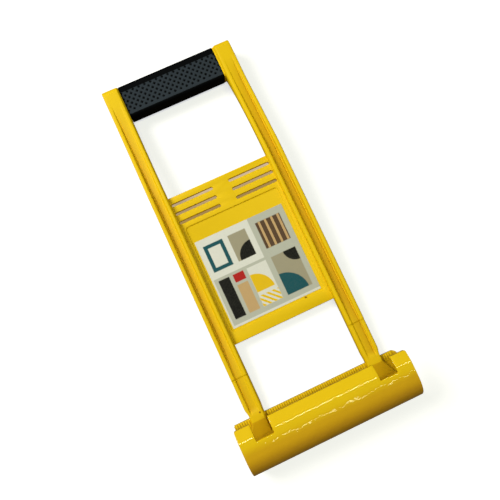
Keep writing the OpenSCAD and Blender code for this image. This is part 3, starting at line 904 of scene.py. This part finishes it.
def makeLabelMaterial():
    material, tree, shader = newMaterial("printedLabel")
    uv = addNode(tree, "ShaderNodeUVMap", uv_map="labelMap").outputs[0]
    split = addNode(tree, "ShaderNodeSeparateXYZ", {0: uv})
    u, v = split.outputs["X"], split.outputs["Y"]
    soft = 0.004

    def above(value, limit):
        return addNode(tree, "ShaderNodeMapRange", {"Value": value, "From Min": limit - soft, "From Max": limit + soft}).outputs[0]

    def both(a, b):
        return math2(tree, "MULTIPLY", a, b)

    def block(u0, v0, u1, v1):
        across = both(above(u, u0), math2(tree, "SUBTRACT", 1.0, above(u, u1)))
        up = both(above(v, v0), math2(tree, "SUBTRACT", 1.0, above(v, v1)))
        return both(across, up)

    def disc(cu, cv, radius):
        du = math2(tree, "SUBTRACT", u, cu)
        dv = math2(tree, "SUBTRACT", v, cv)
        far = math2(tree, "SQRT", math2(tree, "ADD", both(du, du), both(dv, dv)))
        return math2(tree, "SUBTRACT", 1.0, above(far, radius))

    def stripes(count, share, slant):
        along = math2(tree, "MULTIPLY_ADD", v, slant, u)
        return above(math2(tree, "FRACT", math2(tree, "MULTIPLY", along, count)), 1 - share)

    grey, pale, beige = (0.44, 0.45, 0.40, 1), (0.66, 0.66, 0.63, 1), (0.32, 0.29, 0.21, 1)
    dark, teal, brown = (0.003, 0.003, 0.005, 1), (0.006, 0.075, 0.10, 1), (0.09, 0.05, 0.03, 1)
    red, yellow, sand = (0.40, 0.008, 0.010, 1), (0.72, 0.46, 0.005, 1), (0.50, 0.33, 0.16, 1)
    paint = mixColours(tree, block(0.0, 0.55, 0.60, 1.0), grey, pale)
    layers = [
        (block(0.06, 0.62, 0.28, 0.92), teal), (block(0.10, 0.66, 0.24, 0.88), pale),
        (block(0.34, 0.62, 0.54, 0.92), beige), (both(block(0.34, 0.62, 0.54, 0.92), disc(0.54, 0.62, 0.17)), dark),
        (block(0.66, 0.08, 0.94, 0.52), beige), (both(block(0.66, 0.08, 0.94, 0.52), disc(0.66, 0.08, 0.24)), teal),
        (both(block(0.66, 0.08, 0.94, 0.52), disc(0.94, 0.52, 0.14)), dark),
        (block(0.66, 0.62, 0.94, 0.92), brown), (both(block(0.66, 0.62, 0.94, 0.92), stripes(14, 0.35, 0.0)), sand),
        (block(0.06, 0.08, 0.18, 0.52), dark), (block(0.22, 0.08, 0.34, 0.40), sand), (block(0.22, 0.43, 0.34, 0.52), red),
        (block(0.38, 0.08, 0.60, 0.52), pale), (both(block(0.38, 0.08, 0.60, 0.20), stripes(16, 0.5, 1.0)), yellow),
        (both(block(0.38, 0.24, 0.60, 0.52), disc(0.38, 0.24, 0.20)), yellow),
        (block(0.0, 0.0, 1.0, 0.025), pale), (block(0.0, 0.0, 0.018, 1.0), pale),
    ]
    for mask, colour in layers:
        paint = mixColours(tree, mask, paint, colour)
    place = addNode(tree, "ShaderNodeTexCoord").outputs["Object"]
    ink = addNode(tree, "ShaderNodeTexNoise", {"Vector": place, "Scale": 700.0, "Detail": 3.0})
    speck = math2(tree, "MULTIPLY_ADD", ink.outputs["Fac"], 0.16, -0.06)
    tree.links.new(mixColours(tree, speck, paint, (0.22, 0.21, 0.18, 1)), shader.inputs["Base Color"])
    shader.inputs["Specular IOR Level"].default_value = 0.04
    marks = addNode(tree, "ShaderNodeGroup", node_tree=scuffGroup)
    marks.inputs["Amount"].default_value = 0.5
    tree.links.new(math2(tree, "MULTIPLY_ADD", marks.outputs["Mask"], 0.3, 0.34), shader.inputs["Roughness"])
    wrinkle = addNode(tree, "ShaderNodeTexNoise", {"Vector": place, "Scale": 60.0, "Detail": 2.0})
    height = math2(tree, "MULTIPLY", wrinkle.outputs["Fac"], 0.00025)
    bump = addNode(tree, "ShaderNodeBump", {"Height": height, "Strength": 1.0, "Distance": 1.0})
    tree.links.new(bump.outputs[0], shader.inputs["Normal"])
    return material


def makeLabel():
    x0, y0 = -labelSheet["width"] / 2 - labelSheet["shift"], pocketLow + labelSheet["gap"]
    floor = panelFront - panel["pocketDepth"]
    count = labelSheet["cells"]
    verts, faces, places = [], [], []
    for j in range(count + 1):
        for i in range(count + 1):
            u, v = i / count, j / count
            edge = min(u, v, 1 - u, 1 - v)
            lift = labelSheet["wave"] * (0.5 + 0.5 * math.sin(7 * u + 2.0) * math.sin(5.3 * v + 0.7)) * min(edge * 8, 1)
            verts.append(Vector((x0 + u * labelSheet["width"], y0 + v * labelSheet["height"],
                                 floor + labelSheet["thick"] - labelSheet["wave"] + lift)))
            places.append((u, v))
    for j in range(count):
        for i in range(count):
            a = j * (count + 1) + i
            faces.append((a, a + 1, a + count + 2, a + count + 1))
    piece = newObject("printed_label", verts, faces)
    layer = piece.data.uv_layers.new(name="labelMap")
    for loop in piece.data.loops:
        layer.data[loop.index].uv = places[loop.vertex_index]
    sheet = piece.modifiers.new("thickness", "SOLIDIFY")
    sheet.thickness = labelSheet["thick"] - labelSheet["wave"]
    sheet.offset = -1
    return piece


finishPiece(makeLabel(), makeLabelMaterial(), ["label"])
print("label made")

# Camera: where the photograph was taken from, above the part and a little towards the hook
view = {"turn": 24.6, "focal": 575.0, "frame": 500.0, "sensor": 36.0,
        "place": (-41.399, 143.596, 546.190), "angles": (0.0808216, -0.0721090, -0.0072366)}
cameraData = bpy.data.cameras.new("camera")
cameraData.sensor_width = view["sensor"]
cameraData.lens = view["focal"] / view["frame"] * view["sensor"]
cameraData.clip_start = 0.01
camera = bpy.data.objects.new("camera", cameraData)
bpy.context.scene.collection.objects.link(camera)
look = Matrix.Rotation(view["angles"][2], 4, "Z") @ Matrix.Rotation(view["angles"][1], 4, "Y")
look = look @ Matrix.Rotation(view["angles"][0], 4, "X") @ Matrix.Rotation(-math.radians(view["turn"]), 4, "Z")
camera.matrix_world = Matrix.Translation(placeMatrix @ Vector(view["place"])) @ placeTurn @ look
bpy.context.scene.camera = camera


# Floor and light: a key from the grip's end, two narrow strips overhead that draw the thin
# wavy highlights on the hook, and a soft warm surround
light = {
    "floorTone": (0.50, 0.48, 0.46, 1), "floorBounce": (0.15, 0.11, 0.07, 1), "floorGlow": (0.66, 0.68, 0.70, 1),
    "paintedShadowTone": (0.20, 0.13, 0.05, 1), "paintedShadowGlow": (0.35, 0.22, 0.055, 1),
    "surround": (1.0, 0.90, 0.72, 1), "surroundLevel": 0.17, "key": 21.5, "strip": 4.5, "lowStrip": 0.3,
    "stripColour": (0.95, 1.0, 0.58),
}


def makeFloor():
    floor = newObject("floor", [(-3, -3, 0), (3, -3, 0), (3, 3, 0), (-3, 3, 0)], [(0, 1, 2, 3)])
    material, tree, shader = newMaterial("paleFloor")
    seen = addNode(tree, "ShaderNodeLightPath").outputs["Is Camera Ray"]
    # Painted shadow on the ground right under the slots, seen from above by camera rays: dim, with a painted yellow
    # bounce from the plastic
    place = addNode(tree, "ShaderNodeTexCoord").outputs["Object"]
    spot = addNode(tree, "ShaderNodeSeparateXYZ", {0: place})
    towards = addNode(tree, "ShaderNodeSeparateXYZ", {0: addNode(tree, "ShaderNodeNewGeometry").outputs["Incoming"]})
    side = math2(tree, "ABSOLUTE", spot.outputs["X"])
    masks = []
    for value, start, end, least in ((side, 0.060, 0.056, 0.0), (spot.outputs["Y"], 0.030, 0.036, 0.0),
                                     (spot.outputs["Y"], 0.072, 0.071, 0.0), (spot.outputs["Y"], 0.070, 0.045, 0.75),
                                     (towards.outputs["Z"], 0.72, 0.82, 0.0)):
        masks.append(addNode(tree, "ShaderNodeMapRange", {
            "Value": value, "From Min": start, "From Max": end, "To Min": least, "To Max": 1.0}).outputs[0])
    paintedShadow = masks[0]
    for mask in masks[1:]:
        paintedShadow = math2(tree, "MULTIPLY", paintedShadow, mask)
    shown = mixColours(tree, paintedShadow, light["floorTone"], light["paintedShadowTone"])
    tree.links.new(mixColours(tree, seen, light["floorBounce"], shown), shader.inputs["Base Color"])
    shader.inputs["Roughness"].default_value = 0.9
    shader.inputs["Specular IOR Level"].default_value = 0.1
    away = addNode(tree, "ShaderNodeVectorMath", {0: place}, operation="LENGTH").outputs["Value"]
    far = addNode(tree, "ShaderNodeMapRange", {"Value": away, "From Min": 0.45, "From Max": 1.2}).outputs[0]
    near = mixColours(tree, paintedShadow, light["floorGlow"], light["paintedShadowGlow"])
    glow = addNode(tree, "ShaderNodeEmission", {"Color": mixColours(tree, far, near, (1, 1, 1, 1))})
    tree.links.new(seen, glow.inputs["Strength"])
    total = addNode(tree, "ShaderNodeAddShader")
    tree.links.new(shader.outputs[0], total.inputs[0])
    tree.links.new(glow.outputs[0], total.inputs[1])
    tree.links.new(total.outputs[0], tree.nodes["Material Output"].inputs["Surface"])
    floor.data.materials.append(material)


makeFloor()


def addLamp(name, power, size, place, target=(0, 0, 0.02), sizeY=None, colour=(1, 1, 1)):
    data = bpy.data.lights.new(name, "AREA")
    data.energy = power
    data.color = colour
    data.shape = "RECTANGLE"
    data.size = size
    data.size_y = sizeY or size
    lamp = bpy.data.objects.new(name, data)
    bpy.context.scene.collection.objects.link(lamp)
    lamp.location = place
    lamp.rotation_mode = "QUATERNION"
    lamp.rotation_quaternion = (Vector(target) - Vector(place)).to_track_quat("-Z", "Y")


addLamp("keyLight", light["key"], 0.7, (-0.80, 0.70, 1.15))
addLamp("overheadStrip", light["strip"], 0.62, (0.093, -0.08, 1.2), (0.093, -0.079, 0.0), 0.1, light["stripColour"])
addLamp("lowStrip", light["lowStrip"], 0.46, (0.15, -0.65, 1.2), (0.15, -0.649, 0.0), 0.012, light["stripColour"])
world = bpy.data.worlds.new("softStudio")
bpy.context.scene.world = world
world.use_nodes = True
worldTree = world.node_tree
backdrop = worldTree.nodes["Background"]
rays = addNode(worldTree, "ShaderNodeLightPath")
seen = rays.outputs["Is Camera Ray"]
worldTree.links.new(mixColours(worldTree, seen, light["surround"], (1, 1, 1, 1)), backdrop.inputs["Color"])
level = math2(worldTree, "MULTIPLY_ADD", seen, 1 - light["surroundLevel"], light["surroundLevel"])
worldTree.links.new(level, backdrop.inputs["Strength"])
bpy.context.scene.view_settings.view_transform = "Standard"
print("camera, floor and light made")
